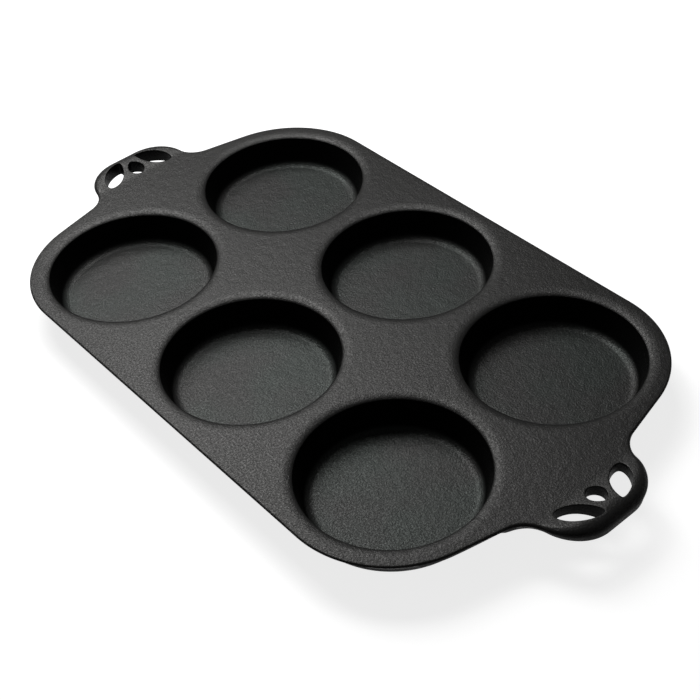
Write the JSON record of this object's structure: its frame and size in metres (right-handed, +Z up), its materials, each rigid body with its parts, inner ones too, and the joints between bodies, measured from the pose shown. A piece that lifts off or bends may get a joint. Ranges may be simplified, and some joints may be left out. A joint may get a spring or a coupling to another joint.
{
  "type": "cast iron muffin pan",
  "caption": "Long cast iron pan with shallow round cups set in a flat deck with wide round corners, and a short handle pierced by petal-shaped openings at each end.",
  "frame": {"origin": "middle of the plane that the cups stand on, midway between the two handles", "axes": "+X along the pan's length to the right handle, +Y to the back row of cups, +Z up out of the cups"},
  "size_m": [0.426, 0.2376, 0.0247],
  "materials": {
    "seasoned_iron": "matte black baked-on seasoning over a fine sand-cast grain"
  },
  "bodies": {
    "root": {"deck": "seasoned_iron", "cup_front_left": "seasoned_iron", "cup_front_middle": "seasoned_iron", "cup_front_right": "seasoned_iron", "cup_back_left": "seasoned_iron", "cup_back_middle": "seasoned_iron", "cup_back_right": "seasoned_iron", "handle_left": "seasoned_iron", "handle_right": "seasoned_iron"}
  },
  "joints": []
}
